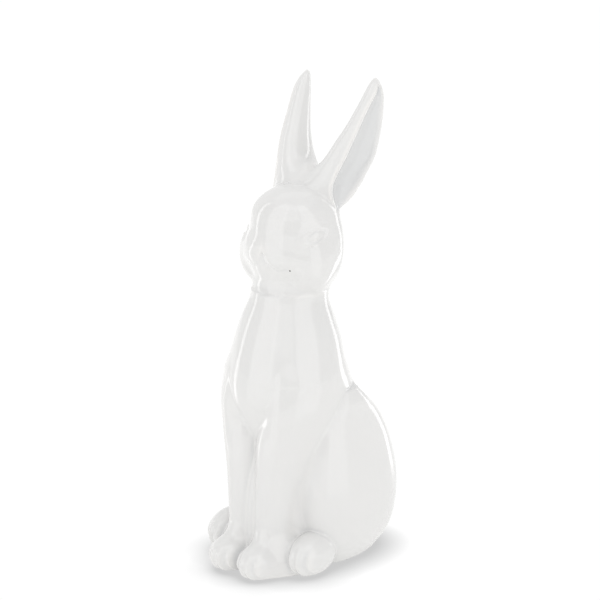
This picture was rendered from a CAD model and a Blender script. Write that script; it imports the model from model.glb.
# White glazed rabbit, sitting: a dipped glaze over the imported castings, on its felt pads
import math
import time

import bpy
import numpy as np
import openvdb
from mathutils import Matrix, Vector


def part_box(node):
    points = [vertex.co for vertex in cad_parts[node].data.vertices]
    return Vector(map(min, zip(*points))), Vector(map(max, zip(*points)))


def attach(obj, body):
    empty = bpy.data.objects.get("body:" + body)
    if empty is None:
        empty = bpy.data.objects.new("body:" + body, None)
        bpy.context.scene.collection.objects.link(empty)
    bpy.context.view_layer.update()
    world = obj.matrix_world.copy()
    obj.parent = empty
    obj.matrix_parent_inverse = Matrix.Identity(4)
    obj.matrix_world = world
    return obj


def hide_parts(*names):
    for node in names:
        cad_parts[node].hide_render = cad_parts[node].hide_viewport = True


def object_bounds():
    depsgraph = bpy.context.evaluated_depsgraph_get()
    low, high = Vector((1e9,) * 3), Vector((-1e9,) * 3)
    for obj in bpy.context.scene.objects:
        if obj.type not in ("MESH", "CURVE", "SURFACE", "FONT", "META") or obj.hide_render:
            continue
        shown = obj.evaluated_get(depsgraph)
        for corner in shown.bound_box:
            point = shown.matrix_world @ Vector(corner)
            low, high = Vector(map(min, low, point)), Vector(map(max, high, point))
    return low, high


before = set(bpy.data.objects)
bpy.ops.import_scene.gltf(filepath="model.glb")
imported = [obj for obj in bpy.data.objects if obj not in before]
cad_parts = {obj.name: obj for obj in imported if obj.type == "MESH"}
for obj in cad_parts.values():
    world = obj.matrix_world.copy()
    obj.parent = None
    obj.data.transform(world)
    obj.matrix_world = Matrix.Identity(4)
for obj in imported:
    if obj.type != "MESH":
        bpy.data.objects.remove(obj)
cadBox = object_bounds()
print("castings loaded", len(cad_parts))

mm = 0.001  # everything below is in millimetres until a mesh is made

# The figure as a whole. Heights run up from the table, y from the neck's axis, face forward.
figure = {
    "chestReach": 40.9,     # neck axis to the front of the chest
    "footLevel": 0.5,       # glaze-free underside
    "footRound": 1.6,
    "runsOn": 5.0,          # the forms go on this far under the foot, to be cut off flat
    "voxel": 0.9,
    "quickVoxel": 1.4,
    "block": 4,             # voxels along a coarse block
    "margin": 3,            # empty blocks round the figure
    "closeBlocks": 2.0,     # blocks this near the skin get fine samples
    "batch": 300000,
    "settle": 2,            # times that the skin's points are moved onto the form
    "inset": 0.02,          # kept inside the castings' box
    "shell": 1.2,           # glaze and the clay just under it, as closed pieces
    "far": 40.0,            # stands for any distance that no longer matters
}
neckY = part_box("torso")[0][1] / mm + figure["chestReach"]


# Forms as distances: below zero inside, above zero outside
def levelsAt(rows, z):
    table = np.array(rows, float)
    heights = table[:, 0]
    zIn = np.clip(z, heights[0], heights[-1])
    low = np.clip(np.searchsorted(heights, zIn, side="right") - 1, 0, len(heights) - 2)
    span = heights[low + 1] - heights[low]
    t = ((zIn - heights[low]) / span)[:, None]
    slopes = np.gradient(table[:, 1:], heights, axis=0)
    start, end = table[low, 1:], table[low + 1, 1:]
    startSlope, endSlope = slopes[low] * span[:, None], slopes[low + 1] * span[:, None]
    return (
        start * (2 * t**3 - 3 * t**2 + 1) + startSlope * (t**3 - 2 * t**2 + t)
        + end * (3 * t**2 - 2 * t**3) + endSlope * (t**3 - t**2)
    ).T


def ellipse(dx, dy, rx, ry):
    k = np.sqrt((dx / rx) ** 2 + (dy / ry) ** 2)
    slope = np.sqrt((dx / rx**2) ** 2 + (dy / ry**2) ** 2)
    return np.where(slope > 1e-6, k * (k - 1) / np.maximum(slope, 1e-6), -np.minimum(rx, ry))


def bluntEllipse(dx, dy, rx, ry, power):
    ax, ay = np.abs(dx) / rx, np.abs(dy) / ry
    k = np.maximum(ax**power + ay**power, 1e-9) ** (1 / power)
    slope = np.hypot(ax ** (power - 1) / rx, ay ** (power - 1) / ry) * k ** (1 - power)
    return (k - 1) / np.maximum(slope, 1e-3)


def capped(side, z, low, high):
    over = np.maximum(z - high, low - z)
    return np.where(over > 0, np.hypot(np.maximum(side, 0), over), side)


def egg(x, y, z, place, radii):
    dx, dy, dz = (x - place[0]) / radii[0], (y - place[1]) / radii[1], (z - place[2]) / radii[2]
    k = np.sqrt(dx**2 + dy**2 + dz**2)
    slope = np.sqrt((dx / radii[0]) ** 2 + (dy / radii[1]) ** 2 + (dz / radii[2]) ** 2)
    return np.where(slope > 1e-6, k * (k - 1) / np.maximum(slope, 1e-6), -min(radii))


def blended(a, b, soft):
    h = np.clip(0.5 + 0.5 * (b - a) / soft, 0, 1)
    return b * (1 - h) + a * h - soft * h * (1 - h)


def carved(a, b, soft):
    return -blended(-a, b, soft)


def ramp(value, low, high):
    t = np.clip((value - low) / (high - low), 0, 1)
    return t * t * (3 - 2 * t)


# Each row of a table is a level: height, then the sizes of the outline there
torsoForm = {
    "rows": [  # height, half width, front, back
        (0.5, 34.0, -24.0, 42.1),
        (7.3, 39.6, -26.0, 52.4),
        (21.0, 43.7, -27.0, 64.2),
        (41.5, 42.5, -27.0, 70.6),
        (58.6, 42.2, -27.4, 71.0),
        (77.5, 40.6, -30.4, 65.7),
        (96.3, 38.8, -36.3, 54.4),
        (108.2, 38.4, -40.2, 45.6),
        (120.2, 38.3, -40.9, 38.7),
        (132.2, 36.3, -38.7, 33.8),
        (145.8, 32.9, -34.8, 31.4),
        (157.8, 29.0, -30.4, 27.4),
        (166.4, 25.5, -26.5, 25.0),
        (173.5, 23.2, -23.4, 24.0),
    ],
    "apron": (17.0, -19.0, 5.0), "apronRadii": (16.0, 18.0, 19.0), "apronBlend": 5.0,
    "web": (0.0, -25.0, 20.0), "webRadii": (8.0, 15.0, 60.0), "webBlend": 3.0,
    "legsReach": 110.0,     # nothing of the apron or web above this
    "ventRadius": 6.0,
    "ventDepth": 22.0,
    "ventRound": 1.0,
}


def torsoAt(x, y, z):
    half, front, back = levelsAt(torsoForm["rows"], z)
    side = ellipse(x, y - (front + back) / 2, half, (back - front) / 2)
    body = capped(side, z, torsoForm["rows"][0][0] - figure["runsOn"], torsoForm["rows"][-1][0])
    low = z < torsoForm["legsReach"]
    spot = (x[low], y[low], z[low])
    apron = egg(np.abs(x[low]), y[low], z[low], torsoForm["apron"], torsoForm["apronRadii"])
    web = egg(*spot, torsoForm["web"], torsoForm["webRadii"])
    body[low] = blended(blended(body[low], apron, torsoForm["apronBlend"]), web, torsoForm["webBlend"])
    return body


# The head, with its face and its eyes and mouth
headForm = {
    "rows": [
        (168.5, 20.5, -20.5, 21.8),
        (172.0, 22.6, -21.6, 24.1),
        (177.2, 25.6, -21.8, 27.7),
        (182.7, 28.3, -20.8, 30.2),
        (187.6, 30.0, -19.4, 31.4),
        (192.4, 31.0, -18.4, 32.0),
        (197.2, 31.5, -17.6, 32.2),
        (202.1, 31.4, -17.0, 32.4),
        (206.9, 30.8, -16.8, 32.6),
        (212.1, 29.6, -17.0, 32.9),
        (217.2, 27.9, -17.8, 33.0),
        (222.1, 26.1, -18.8, 34.0),
        (226.3, 24.2, -17.6, 32.4),
        (230.4, 21.2, -14.8, 30.0),
        (234.0, 16.9, -10.2, 25.8),
        (236.6, 11.2, -4.4, 19.4),
        (238.0, 5.3, 2.0, 12.5),
    ],
    "neckCrease": 5.0,
}
faceForm = {
    # each swelling: middle across, forward and up, its three radii, and how softly it joins
    "brow": ((0.0, -5.0, 217.0), (22.0, 15.0, 16.0), 7.0),
    "bridge": ((0.0, -9.0, 209.0), (19.0, 14.2, 15.0), 6.0),
    "muzzle": ((0.0, -8.5, 199.5), (26.5, 15.0, 14.0), 6.0),
    "chin": ((0.0, -11.5, 187.0), (13.5, 10.5, 8.5), 4.0),
    "cheek": ((21.3, -3.6, 194.3), (11.3, 13.8, 17.2), 5.0),
    "pad": ((7.4, -12.6, 198.4), (10.5, 10.6, 10.0), 9.0),
    "nose": ((0.0, -18.6, 204.6), (7.2, 4.6, 4.8), 7.0),
    "philtrum": ((0.0, -25.6, 195.5), (1.4, 0.6, 4.0), 2.0),
}
eyeForm = {
    "place": (24.9, -4.9, 211.6), "swing": 52.0, "tilt": 0.28,
    "half": 5.6, "tall": 2.7, "ball": 0.7, "ballFrom": -0.2, "ballTo": 2.4,
    "lid": 0.34, "lidAway": 1.5, "lidWidth": 0.8, "groove": 0.10, "grooveWidth": 0.55,
    "reach": 6.0,
}
mouthForm = {
    "line": ((2.5, 195.6), (6.0, 192.2), (9.0, 190.6), (12.5, 190.7), (16.1, 192.2)),  # across, height
    "depth": 0.26, "width": 1.2,
    "startFrom": 0.8, "startTo": 3.0, "endFrom": 14.5, "endTo": 18.0,   # where the line fades, across
    "faceFrom": 6.0, "faceTo": 12.0,                                    # and how far forward it begins
}


def headAt(x, y, z):
    half, front, back = levelsAt(headForm["rows"], z)
    side = ellipse(x, y - (front + back) / 2, half, (back - front) / 2)
    head = capped(side, z, headForm["rows"][0][0], headForm["rows"][-1][0])
    across = np.abs(x)
    for name in ("brow", "bridge", "muzzle", "chin", "cheek", "pad", "nose"):
        place, radii, soft = faceForm[name]
        head = blended(head, egg(across, y, z, place, radii), soft)
    place, radii, soft = faceForm["philtrum"]
    head = carved(head, egg(across, y, z, place, radii), soft)
    # The eye is a low almond with a groove round it and a soft lid outside the groove
    swing = math.radians(eyeForm["swing"])
    dx, dy = across - eyeForm["place"][0], y - eyeForm["place"][1]
    along = dx * math.cos(swing) + dy * math.sin(swing)
    out = dx * math.sin(swing) - dy * math.cos(swing)
    up = z - eyeForm["place"][2] - eyeForm["tilt"] * along
    almond = (np.hypot(along / eyeForm["half"], up / eyeForm["tall"]) - 1) * eyeForm["tall"]
    raised = eyeForm["ball"] * ramp(-almond, eyeForm["ballFrom"], eyeForm["ballTo"])
    raised += eyeForm["lid"] * np.exp(-(((almond - eyeForm["lidAway"]) / eyeForm["lidWidth"]) ** 2))
    sunk = eyeForm["groove"] * np.exp(-((almond / eyeForm["grooveWidth"]) ** 2))
    head = head - np.where(np.abs(out) < eyeForm["reach"], raised - sunk, 0.0)
    level = np.interp(across, *zip(*mouthForm["line"]))
    smile = mouthForm["depth"] * np.exp(-(((z - level) / mouthForm["width"]) ** 2))
    smile *= ramp(across, mouthForm["startFrom"], mouthForm["startTo"])
    smile *= 1 - ramp(across, mouthForm["endFrom"], mouthForm["endTo"])
    return head + smile * ramp(-y, mouthForm["faceFrom"], mouthForm["faceTo"])


# The ears, each a leaf with a scoop
earForm = {
    "rows": [  # height, place across and back, half length, half thickness, turn
        (222.7, 14.9, 17.6, 7.6, 6.4, 60),
        (228.2, 14.3, 19.4, 13.6, 10.6, 61),
        (236.7, 14.3, 24.0, 17.8, 12.7, 63),
        (243.8, 16.5, 27.7, 17.5, 12.4, 65),
        (253.1, 20.7, 31.9, 16.6, 10.2, 68),
        (263.3, 23.5, 35.8, 14.4, 8.5, 70),
        (272.6, 25.4, 39.9, 11.7, 7.2, 70),
        (282.8, 26.7, 43.9, 8.8, 5.8, 72),
        (291.3, 27.3, 47.0, 6.2, 4.5, 74),
        (296.2, 27.0, 48.7, 4.0, 3.0, 75),
        (298.9, 26.8, 49.5, 2.2, 1.7, 75),
        (300.3, 26.7, 49.9, 0.6, 0.5, 75),
    ],
    "scoopRows": [  # height, shift out and back in shares of the ear there, size share
        (222.5, 1.00, 0.55, 0.06),
        (229.5, 1.04, 0.40, 0.42),
        (236.7, 1.06, 0.31, 0.60),
        (246.1, 1.06, 0.27, 0.71),
        (257.0, 1.06, 0.25, 0.75),
        (269.5, 1.06, 0.24, 0.76),
        (280.0, 1.05, 0.24, 0.73),
        (286.0, 1.03, 0.24, 0.60),
        (291.0, 1.02, 0.22, 0.34),
        (295.0, 1.02, 0.20, 0.04),
    ],
    "rim": 1.8,
    "lip": 0.8, "lipAway": 1.7, "lipWidth": 1.1,   # the raised bead round the scoop
    "fork": 21.0,           # how far up the two ears grow together
    "crownCrease": 1.6,
    "poolAbove": 222.0, "poolShare": 0.7, "poolFrom": -0.6, "poolTo": 1.2,
}


def leafAndScoopAt(x, y, z):
    across, back, half, thick, turn = levelsAt(earForm["rows"], z)
    swing = np.radians(turn)
    dx, dy = x - across, y - back
    along = dx * np.cos(swing) + dy * np.sin(swing)
    out = dx * np.sin(swing) - dy * np.cos(swing)
    leaf = capped(ellipse(along, out, half, thick), z, earForm["rows"][0][0], earForm["rows"][-1][0])
    shiftOut, shiftBack, share = levelsAt(earForm["scoopRows"], z)
    scoop = ellipse(along - half * shiftBack, out - thick * shiftOut, half * share, thick * share)
    return leaf, capped(scoop, z, earForm["scoopRows"][0][0], earForm["scoopRows"][-1][0])


def earAt(x, y, z):
    leaf, scoop = leafAndScoopAt(x, y, z)
    bead = np.exp(-(((scoop - earForm["lipAway"]) / earForm["lipWidth"]) ** 2))
    return carved(leaf - earForm["lip"] * bead, scoop, earForm["rim"])


# The forelegs, with a paw each
forelegForm = {
    "rows": [  # height, place across and along, half width, half depth
        (-2.0, 10.3, -31.0, 10.6, 10.9),
        (24.7, 10.1, -30.8, 10.5, 10.3),
        (41.6, 10.6, -30.0, 11.2, 10.8),
        (61.0, 11.7, -28.2, 12.2, 12.0),
        (90.0, 13.7, -24.6, 14.2, 14.2),
        (107.0, 16.8, -18.8, 14.0, 15.7),
        (121.5, 19.3, -11.9, 10.2, 12.6),
    ],
    "innerCrease": 2.2,
    "middleCrease": 3.0,
    "shoulderBlend": 15.0,
    "shoulderFrom": 8.0, "shoulderTo": 22.0,    # across, where the leg starts to melt into the chest
    "lowShare": 0.7, "riseFrom": 35.0, "riseTo": 90.0,
}


def forelegAt(x, y, z):
    across, along, half, depth = levelsAt(forelegForm["rows"], z)
    return capped(ellipse(x - across, y - along, half, depth), z, -figure["runsOn"],
                  forelegForm["rows"][-1][0])


pawForm = {
    "place": (11.6, -45.2, 10.4), "radii": (11.3, 13.9, 10.8),
    "instep": (11.4, -36.9, 2.0), "instepRadii": (9.3, 12.3, 25.0),
    "toes": 4, "toeDepth": 1.1, "toeWidth": 11.2, "toeTop": 20.0,
    "ankleBlend": 6.0,
    "reach": 60.0,          # nothing of the paw above this
}
toeFade = {"sideFrom": 0.15, "sideTo": 0.75, "topFrom": 0.55, "level": 0.6}   # shares of the foot


def toedAt(x, y, z, form):
    # Toes are shallow flutes round the front of the foot that die out over its top
    foot = egg(x, y, z, form["place"], form["radii"])
    cx, cy, _ = form["place"]
    across = np.clip((x - cx) / form["toeWidth"], -1, 1)
    flute = 0.5 - 0.5 * np.cos(np.pi * form["toes"] * (across + 1))
    fade = ramp(cy - y, toeFade["sideFrom"] * form["radii"][1], toeFade["sideTo"] * form["radii"][1])
    fade *= 1 - ramp(z, toeFade["topFrom"] * form["toeTop"], form["toeTop"])
    return foot - form["toeDepth"] * (flute - toeFade["level"]) * fade


def pawAt(x, y, z):
    instep = egg(x, y, z, pawForm["instep"], pawForm["instepRadii"])
    return blended(toedAt(x, y, z, pawForm), instep, pawForm["ankleBlend"])


def footedLegAt(x, y, z):
    leg = forelegAt(x, y, z)
    low = z < pawForm["reach"]
    leg[low] = blended(leg[low], pawAt(x[low], y[low], z[low]), pawForm["ankleBlend"])
    return leg


# The hind feet, haunches and tail
hindFootForm = {
    "place": (33.0, -18.2, 12.9), "radii": (12.0, 19.0, 13.6),
    "toes": 4, "toeDepth": 1.1, "toeWidth": 12.0, "toeTop": 24.0,
    "crease": 1.6,
}


def hindFootAt(x, y, z):
    return toedAt(x, y, z, hindFootForm)


haunchForm = {
    "rows": [  # height, outer face, half thickness, front, back
        (0.5, 40.0, 19.0, -8.0, 48.0),
        (11.7, 46.5, 20.5, -13.0, 56.2),
        (30.7, 49.8, 21.5, -17.2, 62.2),
        (47.5, 49.5, 21.5, -18.2, 63.2),
        (64.3, 47.8, 20.5, -16.6, 60.2),
        (80.0, 45.8, 18.0, -13.4, 54.0),
        (95.7, 43.2, 13.5, -7.4, 42.4),
        (105.8, 42.8, 9.4, 0.4, 30.3),
        (112.5, 39.6, 5.8, 6.0, 22.6),
    ],
    "blunt": 2.35,          # 2 is an ellipse in plan, more is squarer
    "crease": 1.2,
    "rumpBlend": 12.0, "rumpFrom": 12.0, "rumpTo": 45.0,    # the crease fades out over the rump
}


def haunchAt(x, y, z):
    outer, thick, front, back = levelsAt(haunchForm["rows"], z)
    side = bluntEllipse(x - outer + thick, y - (front + back) / 2, thick, (back - front) / 2,
                        haunchForm["blunt"])
    return capped(side, z, -figure["runsOn"], haunchForm["rows"][-1][0])


tailForm = {"place": (0.0, 64.0, 27.5), "radii": (12.0, 12.0, 12.0), "crease": 3.0}


def tailAt(x, y, z):
    return egg(x, y, z, tailForm["place"], tailForm["radii"])


# Each casting is worked out only between these heights
castingHeights = {
    "torso": (-20.0, 195.0), "head": (150.0, 330.0), "tail": (-20.0, 60.0), "ear": (205.0, 330.0),
    "foreleg": (-20.0, 140.0), "haunch": (-20.0, 135.0), "hind_foot": (-20.0, 50.0),
}


def castings(p):
    # Distances to each casting by itself, for the skin and for its seams
    x, y, z = p[:, 0], p[:, 1] - neckY, p[:, 2]
    found = {}

    def near(kind, form, sideName="", side=1):
        low, high = castingHeights[kind]
        at = (z > low) & (z < high)
        found[kind + sideName] = np.full(len(z), figure["far"])
        found[kind + sideName][at] = form(side * x[at], y[at], z[at])

    near("torso", torsoAt)
    near("head", headAt)
    near("tail", tailAt)
    for sideName, side in (("_left", 1), ("_right", -1)):
        near("ear", earAt, sideName, side)
        near("foreleg", footedLegAt, sideName, side)
        near("haunch", haunchAt, sideName, side)
        near("hind_foot", hindFootAt, sideName, side)
    return found


def skinAt(p):
    x, y, z = p[:, 0], p[:, 1] - neckY, p[:, 2]
    piece = castings(p)
    rump = haunchForm["crease"]
    rump = rump + haunchForm["rumpBlend"] * ramp(y, haunchForm["rumpFrom"], haunchForm["rumpTo"])
    body = blended(piece["torso"], piece["haunch_left"], rump)
    body = blended(body, piece["haunch_right"], rump)
    lowShare = forelegForm["lowShare"]
    shoulder = lowShare + (1 - lowShare) * ramp(z, forelegForm["riseFrom"], forelegForm["riseTo"])
    shoulder *= ramp(np.abs(x), forelegForm["shoulderFrom"], forelegForm["shoulderTo"])
    legSoft = forelegForm["innerCrease"] + forelegForm["shoulderBlend"] * shoulder
    legs = blended(piece["foreleg_left"], piece["foreleg_right"], forelegForm["middleCrease"])
    body = blended(body, legs, legSoft)
    for name in ("hind_foot_left", "hind_foot_right"):
        body = blended(body, piece[name], hindFootForm["crease"])
    body = blended(body, piece["tail"], tailForm["crease"])
    body = blended(body, piece["head"], headForm["neckCrease"])
    ears = blended(piece["ear_left"], piece["ear_right"], earForm["fork"])
    body = blended(body, ears, earForm["crownCrease"])
    footFront, footBack = torsoForm["rows"][0][2:]
    vent = np.hypot(x, y - (footFront + footBack) / 2) - torsoForm["ventRadius"]
    body = carved(body, np.maximum(vent, z - torsoForm["ventDepth"]), torsoForm["ventRound"])
    return carved(body, z - figure["footLevel"], figure["footRound"])


def slopeAt(p, step=0.08):
    # Value and slope from four corners of a small tetrahedron
    corners = np.array([(1, -1, -1), (-1, -1, 1), (-1, 1, -1), (1, 1, 1)], float)
    samples = [skinAt(p + corner * step) for corner in corners]
    slope = sum(corner * sample[:, None] for corner, sample in zip(corners, samples)) / (4 * step)
    return sum(samples) / 4, slope


def skinMesh(voxel):
    # Coarse blocks first, then fine samples only in the blocks that the skin passes near
    block, margin = figure["block"], figure["margin"]
    lowest = np.array(cadBox[0]) / mm - margin * voxel * block
    span = (np.array(cadBox[1]) - np.array(cadBox[0])) / mm + 2 * margin * voxel * block
    blocks = np.ceil(span / (voxel * block)).astype(int)
    corner = np.stack(np.meshgrid(*[np.arange(n) for n in blocks], indexing="ij"), -1).reshape(-1, 3)
    middle = lowest + (corner + 0.5) * voxel * block - voxel / 2
    coarse = skinAt(middle)
    near = np.abs(coarse) < voxel * block * figure["closeBlocks"]
    dense = np.repeat(np.repeat(np.repeat(coarse.reshape(blocks), block, 0), block, 1), block, 2)
    inside = np.stack(np.meshgrid(*[np.arange(block)] * 3, indexing="ij"), -1).reshape(-1, 3)
    cells = (corner[near][:, None] * block + inside[None]).reshape(-1, 3)
    for part in np.array_split(np.arange(len(cells)), max(1, len(cells) // figure["batch"])):
        at = cells[part]
        dense[at[:, 0], at[:, 1], at[:, 2]] = skinAt(lowest + at * voxel)
    grid = openvdb.FloatGrid(background=float(voxel * 10))
    grid.copyFromArray(dense.astype(np.float32))
    points, quads = grid.convertToQuads(isovalue=0.0)
    points = lowest + np.asarray(points, float) * voxel
    for _ in range(figure["settle"]):
        value, slope = slopeAt(points)
        size = np.maximum((slope**2).sum(1), 0.1)
        points -= (np.clip(value, -voxel, voxel) / size)[:, None] * slope
    slope = slopeAt(points)[1]
    normals = slope / np.maximum(np.linalg.norm(slope, axis=1), 1e-6)[:, None]
    quads = np.asarray(quads, int)
    a, b, c = points[quads[:, 0]], points[quads[:, 1]], points[quads[:, 2]]
    outward = (np.cross(b - a, c - a) * normals[quads[:, 0]]).sum(1)
    if (outward > 0).mean() < 0.5:
        quads = quads[:, ::-1]
    low, high = np.array(cadBox[0]) / mm + figure["inset"], np.array(cadBox[1]) / mm - figure["inset"]
    return np.clip(points, low, high), quads, normals


def castingOf(points, quads, smoothing=6):
    # Which casting each face belongs to, with ragged borders evened out by a vote of neighbours
    found = castings(points[quads].mean(1))
    names = list(found)
    owner = np.argmin(np.stack([found[name] for name in names]), axis=0)
    for _ in range(smoothing):
        votes = np.zeros((len(points), len(names)), int)
        np.add.at(votes, (quads.ravel(), np.repeat(owner, 4)), 1)
        owner = votes[quads].sum(1).argmax(1)
    return names, owner


def asShell(quads, points, normals):
    # A casting's own stretch of skin with an inner side, joined along its border, so it is closed
    count = len(points)
    start, end = np.stack([quads, np.roll(quads, -1, axis=1)], -1).reshape(-1, 2).T
    alone = ~np.isin(start * count + end, end * count + start)
    start, end = start[alone], end[alone]
    inner = points - normals * figure["shell"]
    rim = np.column_stack([end, start, start + count, end + count])
    faces = np.vstack([quads, quads[:, ::-1] + count, rim])
    return np.vstack([points, inner]), faces, np.vstack([normals, -normals])


def inScoops(points):
    # The dipped ears drain into their scoops, which keep a thicker coat
    share = np.zeros(len(points))
    high = points[:, 2] > earForm["poolAbove"]
    x, y, z = points[high].T
    depth = 1.0 - leafAndScoopAt(np.abs(x), y - neckY, z)[1]
    share[high] = earForm["poolShare"] * ramp(depth, earForm["poolFrom"], earForm["poolTo"])
    return share


# Glaze collects in the hollows and thins over sharp edges; both drive the glaze's colour
def glazeDepths(points, normals):
    away, under = 2.2, 2.6
    pooled = np.clip((away - skinAt(points + normals * away)) / away + inScoops(points), 0, 1)
    thinned = np.clip((under + skinAt(points - normals * under)) / under, 0, 1)
    return pooled, thinned


started = time.time()
points, quads, normals = skinMesh(figure["voxel"])
names, owner = castingOf(points, quads)
pooled, thinned = glazeDepths(points, normals)
glazedPieces = []
for number, name in enumerate(names):
    faces = quads[owner == number]
    used, faces = np.unique(faces, return_inverse=True)
    faces = faces.reshape(-1, 4)
    spots, faces, facing = asShell(faces, points[used], normals[used])
    mesh = bpy.data.meshes.new("glazed_" + name)
    mesh.from_pydata((spots * mm).tolist(), [], faces.tolist())
    mesh.polygons.foreach_set("use_smooth", [True] * len(mesh.polygons))
    mesh.normals_split_custom_set_from_vertices(facing.tolist())
    for label, values in (("glazePool", pooled), ("glazeThin", thinned)):
        kept = np.tile(values[used], 2).astype(np.float32)
        mesh.attributes.new(label, "FLOAT", "POINT").data.foreach_set("value", kept)
    piece = bpy.data.objects.new("glazed_" + name, mesh)
    bpy.context.collection.objects.link(piece)
    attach(piece, "root")
    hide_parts(name)
    glazedPieces.append(piece)
    print("glazed", name, len(faces) * 2, "triangles")
print("skin done in", round(time.time() - started, 1), "s")


# Finishes
def linear(hexColour):
    channels = [int(hexColour[i:i + 2], 16) / 255 for i in (1, 3, 5)]
    return tuple(c / 12.92 if c <= 0.04045 else ((c + 0.055) / 1.055) ** 2.4 for c in channels) + (1.0,)


def addNode(tree, kind, settings=None, links=None):
    # One node with its settings (attributes or input values) and the sockets that feed it
    node = tree.nodes.new(kind)
    for key, value in (settings or {}).items():
        if isinstance(key, str) and hasattr(node, key):
            setattr(node, key, value)
        else:
            node.inputs[key].default_value = value
    for key, source in (links or {}).items():
        tree.links.new(source, node.inputs[key])
    return node


def newMaterial(name):
    material = bpy.data.materials.new(name)
    material.use_nodes = True
    material.node_tree.nodes.clear()
    return material, material.node_tree


# Dipped tin-white glaze, fired glossy over white earthenware: a glass layer a few tenths of a
# millimetre thick, so reflections are sharp, hollows are a shade greyer and edges a shade warmer
glazeFinish = {
    "body": "#EBEAE9", "cloud": "#E7E7E6", "pool": "#D9DADB", "edge": "#F5F3F0",
    "cloudSize": 0.028, "waveSize": 0.009, "waveHeight": 0.00002, "roughness": 0.055,
    "pitsPerMetre": 150.0, "pitFrom": 0.02, "pitTo": 0.05, "pitShare": 0.25,
    "speck": "#2A2622", "speckRadius": 0.00042, "speckAim": (16.1, -18.3, 192.0),
}


def glazeMaterial():
    material, tree = newMaterial("dippedWhiteGlaze")
    place = addNode(tree, "ShaderNodeTexCoord").outputs["Object"]
    cloud = addNode(tree, "ShaderNodeTexNoise", {"Scale": 1 / glazeFinish["cloudSize"], "Detail": 3.0},
                    {"Vector": place})
    base = addNode(tree, "ShaderNodeMix", {"data_type": "RGBA", 6: linear(glazeFinish["body"]),
                                           7: linear(glazeFinish["cloud"])}, {0: cloud.outputs["Fac"]})
    pool = addNode(tree, "ShaderNodeAttribute", {"attribute_name": "glazePool"})
    inHollow = addNode(tree, "ShaderNodeMix", {"data_type": "RGBA", 7: linear(glazeFinish["pool"])},
                       {0: pool.outputs["Fac"], 6: base.outputs[2]})
    thin = addNode(tree, "ShaderNodeAttribute", {"attribute_name": "glazeThin"})
    onEdge = addNode(tree, "ShaderNodeMix", {"data_type": "RGBA", 7: linear(glazeFinish["edge"])},
                     {0: thin.outputs["Fac"], 6: inHollow.outputs[2]})
    # One pinhole burnt dark in the firing, at the left corner of the mouth
    toSpeck = addNode(tree, "ShaderNodeVectorMath", {"operation": "DISTANCE", 1: speckPlace},
                      {0: place})
    inSpeck = addNode(tree, "ShaderNodeMapRange", {"From Min": glazeFinish["speckRadius"],
                      "From Max": glazeFinish["speckRadius"] * 1.5, "To Min": 1.0, "To Max": 0.0},
                      {"Value": toSpeck.outputs["Value"]})
    colour = addNode(tree, "ShaderNodeMix", {"data_type": "RGBA", 7: linear(glazeFinish["speck"])},
                     {0: inSpeck.outputs["Result"], 6: onEdge.outputs[2]})
    # The glaze ran and levelled in the kiln, which leaves long, very low waves and a few pits
    wave = addNode(tree, "ShaderNodeTexNoise", {"Scale": 1 / glazeFinish["waveSize"], "Detail": 2.0},
                   {"Vector": place})
    pits = addNode(tree, "ShaderNodeTexVoronoi", {"Scale": glazeFinish["pitsPerMetre"]}, {"Vector": place})
    pit = addNode(tree, "ShaderNodeMapRange", {"From Min": glazeFinish["pitFrom"],
                  "From Max": glazeFinish["pitTo"]}, {"Value": pits.outputs["Distance"]})
    height = addNode(tree, "ShaderNodeMath", {"operation": "MULTIPLY_ADD", 1: glazeFinish["pitShare"]},
                     {0: pit.outputs["Result"], 2: wave.outputs["Fac"]})
    bump = addNode(tree, "ShaderNodeBump", {"Strength": 0.5, "Distance": glazeFinish["waveHeight"]},
                   {"Height": height.outputs[0]})
    smear = addNode(tree, "ShaderNodeMapRange", {"To Min": glazeFinish["roughness"] * 0.8,
                    "To Max": glazeFinish["roughness"] * 1.3}, {"Value": cloud.outputs["Fac"]})
    shader = addNode(tree, "ShaderNodeBsdfPrincipled", {"IOR": 1.5},
                     {"Base Color": colour.outputs[2], "Roughness": smear.outputs["Result"],
                      "Normal": bump.outputs["Normal"]})
    addNode(tree, "ShaderNodeOutputMaterial", links={"Surface": shader.outputs[0]})
    return material


aimed = np.array(glazeFinish["speckAim"]) + (0, neckY, 0)
nearest = np.argmin(((points - aimed) ** 2).sum(1))     # a point of the skin itself
speckPlace = tuple(float(v) * mm for v in points[nearest])
glaze = glazeMaterial()
for piece in glazedPieces:
    piece.data.materials.append(glaze)
print("glaze mixed")

# Pressed wool felt, die cut: grey-white, matt, with short fibres standing from its cut edge
feltPad = {
    "colour": "#CFCDC9", "fleck": "#BDBAB4", "fibreSize": 0.0009, "relief": 0.0002,
    "edgeRound": 0.35, "rings": 5, "segments": 48, "inset": 0.00002,
    "waves": 5, "waveDepth": 0.006,     # the die's cut edge isn't quite round
    "hairs": 7200000.0, "hairLength": 0.0009, "hairRadius": 0.00003, "hairBend": 0.00015,
    "hairLean": 0.7, "hairSpin": 3.1, "seed": 7,
}


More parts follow.
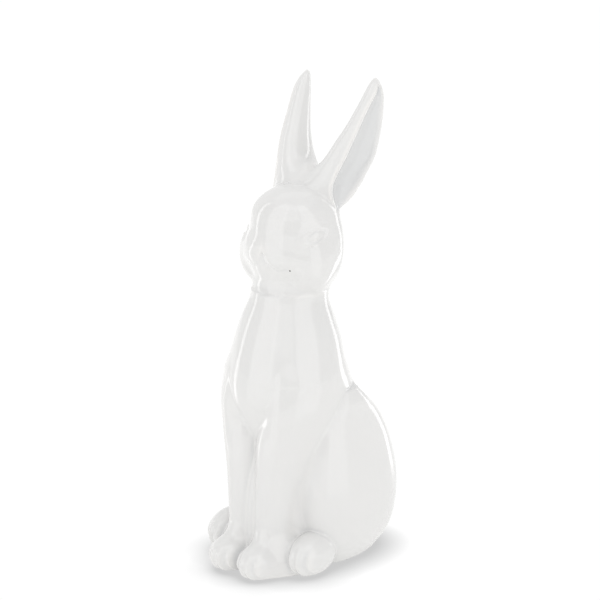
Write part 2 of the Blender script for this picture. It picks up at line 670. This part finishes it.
def feltMaterial():
    material, tree = newMaterial("pressedWoolFelt")
    place = addNode(tree, "ShaderNodeTexCoord").outputs["Object"]
    fibre = addNode(tree, "ShaderNodeTexNoise", {"Scale": 1 / feltPad["fibreSize"], "Detail": 6.0,
                    "Roughness": 0.7, "Distortion": 1.2}, {"Vector": place})
    colour = addNode(tree, "ShaderNodeMix", {"data_type": "RGBA", 6: linear(feltPad["fleck"]),
                     7: linear(feltPad["colour"])}, {0: fibre.outputs["Fac"]})
    bump = addNode(tree, "ShaderNodeBump", {"Strength": 0.6, "Distance": feltPad["relief"]},
                   {"Height": fibre.outputs["Fac"]})
    shader = addNode(tree, "ShaderNodeBsdfPrincipled", {"Roughness": 0.95, "Sheen Weight": 0.3, "IOR": 1.45},
                     {"Base Color": colour.outputs[2], "Normal": bump.outputs["Normal"]})
    addNode(tree, "ShaderNodeOutputMaterial", links={"Surface": shader.outputs[0]})
    return material


def fuzzTree(material):
    # Short hairs standing from the cut edge of a pad, as one mesh with it
    tree = bpy.data.node_groups.new("feltFuzz", "GeometryNodeTree")
    face = tree.interface
    face.new_socket("Pad", in_out="INPUT", socket_type="NodeSocketGeometry")
    for label, kind in (("Hairs per square metre", "NodeSocketFloat"), ("Hair length", "NodeSocketFloat"),
                        ("Hair radius", "NodeSocketFloat"), ("Seed", "NodeSocketInt")):
        face.new_socket(label, in_out="INPUT", socket_type=kind)
    face.new_socket("Pad", in_out="OUTPUT", socket_type="NodeSocketGeometry")
    given = addNode(tree, "NodeGroupInput").outputs
    facing = addNode(tree, "GeometryNodeInputNormal").outputs[0]
    parts = addNode(tree, "ShaderNodeSeparateXYZ", links={0: facing}).outputs
    tilt = addNode(tree, "ShaderNodeMath", {"operation": "ABSOLUTE"}, {0: parts["Z"]}).outputs[0]
    onSide = addNode(tree, "FunctionNodeCompare", {"operation": "LESS_THAN", 1: 0.5}, {0: tilt}).outputs[0]
    roots = addNode(tree, "GeometryNodeDistributePointsOnFaces", None,
                    {"Mesh": given["Pad"], "Selection": onSide, "Density": given["Hairs per square metre"],
                     "Seed": given["Seed"]})
    reach = addNode(tree, "ShaderNodeCombineXYZ", links={"Z": given["Hair length"]})
    bend = addNode(tree, "ShaderNodeVectorMath", {"operation": "MULTIPLY", 1: (0.0, 0.0, 0.5)},
                   {0: reach.outputs[0]})
    aside = addNode(tree, "ShaderNodeVectorMath", {"operation": "ADD", 1: (feltPad["hairBend"], 0.0, 0.0)},
                    {0: bend.outputs[0]})
    hair = addNode(tree, "GeometryNodeCurveQuadraticBezier", {"Resolution": 3, "Start": (0.0, 0.0, 0.0)},
                   {"Middle": aside.outputs[0], "End": reach.outputs[0]})
    outline = addNode(tree, "GeometryNodeCurvePrimitiveCircle", {"Resolution": 3},
                      {"Radius": given["Hair radius"]})
    thread = addNode(tree, "GeometryNodeCurveToMesh", {"Fill Caps": True},
                     {"Curve": hair.outputs[0], "Profile Curve": outline.outputs[0]})
    lean, twist = feltPad["hairLean"], feltPad["hairSpin"]
    spin = addNode(tree, "FunctionNodeRandomValue", {"data_type": "FLOAT_VECTOR", 0: (-lean, -lean, -twist),
                   1: (lean, lean, twist)}, {"Seed": given["Seed"]})
    turned = addNode(tree, "FunctionNodeRotateRotation", {"rotation_space": "LOCAL"},
                     {0: roots.outputs["Rotation"], 1: spin.outputs[0]})
    hairs = addNode(tree, "GeometryNodeInstanceOnPoints", None,
                    {"Points": roots.outputs["Points"], "Instance": thread.outputs[0],
                     "Rotation": turned.outputs[0]})
    whole = addNode(tree, "GeometryNodeJoinGeometry")
    tree.links.new(hairs.outputs[0], whole.inputs[0])
    tree.links.new(given["Pad"], whole.inputs[0])
    real = addNode(tree, "GeometryNodeRealizeInstances", None, {0: whole.outputs[0]})
    finish = addNode(tree, "GeometryNodeSetMaterial", {"Material": material}, {"Geometry": real.outputs[0]})
    addNode(tree, "NodeGroupOutput", None, {0: finish.outputs[0]})
    return tree


def padProfile(low, high, radius, rounding):
    # Radius and height of each ring, from the underside's middle round the edge to the top's middle
    steps = feltPad["rings"]
    rim = []
    for end, sign in ((low, -1), (high, 1)):
        arc = []
        for step in range(steps + 1):
            angle = math.pi / 2 * step / steps
            arc.append((radius - rounding + rounding * math.sin(angle),
                        end - sign * rounding + sign * rounding * math.cos(angle)))
        rim += arc if sign < 0 else arc[::-1]
    inner = [(radius * share, low) for share in (0.3, 0.6, 0.85)]
    return inner + rim + [(r, high) for r, _ in reversed(inner)]


def makePad(node, felt, tree):
    (x0, y0, z0), (x1, y1, z1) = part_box(node)
    centre, radius = ((x0 + x1) / 2, (y0 + y1) / 2), (x1 - x0) / 2 - feltPad["inset"]
    profile = padProfile(z0, z1, radius, feltPad["edgeRound"] * mm)
    count = feltPad["segments"]
    spots, faces = [(centre[0], centre[1], z0)], []
    for ringRadius, level in profile:
        for step in range(count):
            angle = math.tau * step / count
            wave = 0.5 + 0.5 * math.sin(feltPad["waves"] * angle + 40 * centre[0])
            soft = 1 - feltPad["waveDepth"] * wave * (ringRadius / radius)
            spots.append((centre[0] + ringRadius * soft * math.cos(angle),
                          centre[1] + ringRadius * soft * math.sin(angle), level))
    spots.append((centre[0], centre[1], z1))
    for step in range(count):
        onward = (step + 1) % count
        faces.append((0, 1 + onward, 1 + step))
        for ring in range(len(profile) - 1):
            a, b = 1 + ring * count + step, 1 + ring * count + onward
            faces.append((a, b, b + count, a + count))
        last = 1 + (len(profile) - 1) * count
        faces.append((last + step, last + onward, len(spots) - 1))
    mesh = bpy.data.meshes.new(node + "_felt")
    mesh.from_pydata(spots, [], faces)
    mesh.materials.append(felt)
    pad = bpy.data.objects.new(node + "_felt", mesh)
    bpy.context.collection.objects.link(pad)
    fuzz = pad.modifiers.new("fuzz", "NODES")
    fuzz.node_group = tree
    sockets = {item.name: item.identifier for item in tree.interface.items_tree if item.in_out == "INPUT"}
    fuzz[sockets["Hairs per square metre"]] = feltPad["hairs"]
    fuzz[sockets["Hair length"]] = feltPad["hairLength"]
    fuzz[sockets["Hair radius"]] = feltPad["hairRadius"]
    fuzz[sockets["Seed"]] = feltPad["seed"]
    ready = pad.evaluated_get(bpy.context.evaluated_depsgraph_get())
    fuzzy = bpy.data.meshes.new_from_object(ready)
    pad.modifiers.clear()
    pad.data = fuzzy
    fuzzy.polygons.foreach_set("use_smooth", [True] * len(fuzzy.polygons))
    spots = np.empty(len(fuzzy.vertices) * 3)
    fuzzy.vertices.foreach_get("co", spots)
    spots = spots.reshape(-1, 3)
    spots[:, 2] = np.clip(spots[:, 2], z0, None)  # no hair below the table
    fuzzy.vertices.foreach_set("co", spots.ravel())
    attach(pad, "root")
    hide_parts(node)
    return len(fuzzy.polygons)


felt = feltMaterial()
feltFuzz = fuzzTree(felt)
padNodes = [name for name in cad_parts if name.startswith("felt_pad")]
print("felt pads", [makePad(name, felt, feltFuzz) for name in padNodes])

# Camera, fitted to the photograph
view = {"azimuth": 39.0, "reach": 1096.0, "height": 469.0, "aimAlong": 23.0, "aimHeight": 150.0,
        "focalPixels": 1818.0, "centrePixel": (313.0, 317.0), "frame": 600}
turn = math.radians(view["azimuth"])
aim = Vector((0, neckY + view["aimAlong"], view["aimHeight"]))
eye = Vector((view["reach"] * math.sin(turn), aim.y - view["reach"] * math.cos(turn), view["height"]))
forward = (aim - eye).normalized()
right = forward.cross(Vector((0, 0, 1))).normalized()
up = right.cross(forward)
pixel = (aim - eye).length / view["focalPixels"]
half = view["frame"] / 2
aim += right * (half - view["centrePixel"][0]) * pixel + up * (view["centrePixel"][1] - half) * pixel
lens = bpy.data.cameras.new("camera")
lens.sensor_width = 36
lens.lens = view["focalPixels"] / view["frame"] * 36
lens.clip_end = 20
camera = bpy.data.objects.new("camera", lens)
bpy.context.collection.objects.link(camera)
camera.location = eye * mm
camera.rotation_euler = (aim - eye).to_track_quat("-Z", "Y").to_euler()
bpy.context.scene.camera = camera

# White tent with soft panels, as turns from the camera's side (+ to the picture's right) and as
# heights, both in degrees: two tall ones in front for the chest's bands, two thin ones behind
studio = {
    "even": 0.955, "front": 0.68, "backdrop": 1.0,
    "paper": "#EEEEED", "paperFibre": "#F4F4F3", "paperReach": 4, "paperTone": 1.02, "paperShine": 0.20,
    "contactReach": 0.021, "contactTone": 0.60, "contactFrom": 0.36, "contactTo": 0.97,
    "shineFrom": 0.14, "shineTo": 0.34,     # the panels stand an arm's length away on the paper
    "footSoft": 3, "topSoft": 8,            # how the panels fade at their foot and top, degrees
    "inPaper": {"softboxLeft": 0.5, "boom": 0.3, "softboxRight": 0.6, "rimStripLeft": 1, "rimStripRight": 1,
                "backdropGlow": 1},
    "panels": {  # middle, half width, soft edge, lowest, highest, added light
        "softboxLeft": (-50, 24, 3, -4, 74, 1.2),
        "softboxRight": (43, 24, 3, -4, 74, 1.2),
        "overhead": (0, 180, 1, 52, 97, 0.5),
        "boom": (-8, 22, 5, 16, 74, 0.8),
        "rimStripLeft": (-108, 4, 2, -90, 46, 2.2),
        "rimStripRight": (125, 5, 2, -90, 46, 2.2),
        "backdropGlow": (191, 50, 3, -90, 70, 0.32),
    },
}
world = bpy.data.worlds.new("whiteTent")
bpy.context.scene.world = world
world.use_nodes = True
tree = world.node_tree
tree.nodes.clear()


def maths(operation, a, b=None, c=None):
    # A maths node in the world's tree, fed by sockets or by plain numbers
    given = {k: v for k, v in enumerate((a, b, c)) if v is not None}
    plain = {k: v for k, v in given.items() if isinstance(v, (int, float))}
    fed = {k: v for k, v in given.items() if k not in plain}
    return addNode(tree, "ShaderNodeMath", {"operation": operation, **plain}, fed).outputs[0]


def fadeBetween(value, start, end):
    # 0 at start, 1 at end, smooth between
    return addNode(tree, "ShaderNodeMapRange", {"interpolation_type": "SMOOTHSTEP", "From Min": start,
                   "From Max": end}, {"Value": value}).outputs["Result"]


def bearingOf(axes):
    # Turn from the camera's side, from a direction's or a place's X and Y
    sine, cosine = math.sin(turn), math.cos(turn)
    toCamera = maths("ADD", maths("MULTIPLY", axes["X"], sine), maths("MULTIPLY", axes["Y"], -cosine))
    toRight = maths("ADD", maths("MULTIPLY", axes["X"], cosine), maths("MULTIPLY", axes["Y"], sine))
    return maths("ARCTAN2", toRight, toCamera)


def onPanel(bearing, middle, half, soft):
    # 1 on a panel, seen from above, and 0 beside it
    offset = maths("PINGPONG", maths("SUBTRACT", bearing, math.radians(middle)), math.pi)
    return fadeBetween(offset, math.radians(half + soft), math.radians(half - soft))


heading = addNode(tree, "ShaderNodeTexCoord").outputs["Generated"]
axes = addNode(tree, "ShaderNodeSeparateXYZ", links={0: heading}).outputs
bearing = bearingOf(axes)
rise = maths("ARCSINE", axes["Z"])
light = studio["front"]
footSoft, topSoft = studio["footSoft"], studio["topSoft"]
for middle, half, soft, lowest, highest, added in studio["panels"].values():
    inside = onPanel(bearing, middle, half, soft)
    above = fadeBetween(rise, math.radians(lowest - footSoft), math.radians(lowest + footSoft))
    below = fadeBetween(rise, math.radians(highest + topSoft), math.radians(highest - topSoft))
    light = maths("MULTIPLY_ADD", maths("MULTIPLY", inside, maths("MULTIPLY", above, below)), added, light)
# The panels are too far off to light the clay; they only show in its gloss
ray = addNode(tree, "ShaderNodeLightPath").outputs
gloss = addNode(tree, "ShaderNodeMix", {"data_type": "FLOAT", 2: studio["even"]},
                {0: ray["Is Glossy Ray"], 3: light})
level = addNode(tree, "ShaderNodeMix", {"data_type": "FLOAT", 3: studio["backdrop"]},
                {0: ray["Is Camera Ray"], 2: gloss.outputs[0]})
tent = addNode(tree, "ShaderNodeBackground", {"Color": (1, 1, 1, 1)}, {"Strength": level.outputs[0]})
addNode(tree, "ShaderNodeOutputWorld", None, {"Surface": tent.outputs[0]})

# Matt white paper with a fine fibre. It is overexposed for the camera alone, so that only the shadow
# close round the feet shows
reach = studio["paperReach"]
paper = bpy.data.meshes.new("paperFloor")
paper.from_pydata([(-reach, -reach, 0), (reach, -reach, 0), (reach, reach, 0), (-reach, reach, 0)], [],
                  [(0, 1, 2, 3)])
floor = bpy.data.objects.new("paperFloor", paper)
bpy.context.collection.objects.link(floor)
paperStock, tree = newMaterial("whitePaper")
place = addNode(tree, "ShaderNodeTexCoord").outputs["Object"]
grain = addNode(tree, "ShaderNodeTexNoise", {"Scale": 900.0, "Detail": 3.0}, {"Vector": place})
tint = addNode(tree, "ShaderNodeMix", {"data_type": "RGBA", 6: linear(studio["paper"]),
               7: linear(studio["paperFibre"])}, {0: grain.outputs["Fac"]})
contact = addNode(tree, "ShaderNodeAmbientOcclusion", {"Distance": studio["contactReach"]}).outputs["AO"]
shown = addNode(tree, "ShaderNodeMapRange", {"From Min": studio["contactFrom"],
                "From Max": studio["contactTo"], "To Min": studio["contactTone"],
                "To Max": studio["paperTone"]}, {"Value": contact}).outputs["Result"]
# In the gloss the paper also shows the panels that stand on it
bearing = bearingOf(addNode(tree, "ShaderNodeSeparateXYZ", links={0: place}).outputs)
shine = 0.0
for name, share in studio["inPaper"].items():
    middle, half, soft, _, _, added = studio["panels"][name]
    shine = maths("MULTIPLY_ADD", onPanel(bearing, middle, half, soft), added * share, shine)
away = addNode(tree, "ShaderNodeVectorMath", {"operation": "LENGTH"}, {0: place}).outputs["Value"]
onPaper = fadeBetween(away, studio["shineFrom"], studio["shineTo"])
shine = maths("MULTIPLY_ADD", shine, onPaper, studio["paperShine"])
ray = addNode(tree, "ShaderNodeLightPath").outputs
mirrored = addNode(tree, "ShaderNodeMix", {"data_type": "FLOAT", 2: studio["paperShine"]},
                   {0: ray["Is Glossy Ray"], 3: shine})
stock = addNode(tree, "ShaderNodeBsdfPrincipled", {
    "Roughness": 0.9, "Specular IOR Level": 0.0, "Emission Color": (1, 1, 1, 1)},
    {"Base Color": tint.outputs[2], "Emission Strength": mirrored.outputs[0]})
burntOut = addNode(tree, "ShaderNodeEmission", {"Color": (1, 1, 1, 1)}, {"Strength": shown})
both = addNode(tree, "ShaderNodeMixShader", None,
               {0: ray["Is Camera Ray"], 1: stock.outputs[0], 2: burntOut.outputs[0]})
addNode(tree, "ShaderNodeOutputMaterial", links={"Surface": both.outputs[0]})
paper.materials.append(paperStock)
bpy.context.scene.view_settings.view_transform = "Standard"
print("studio lit")
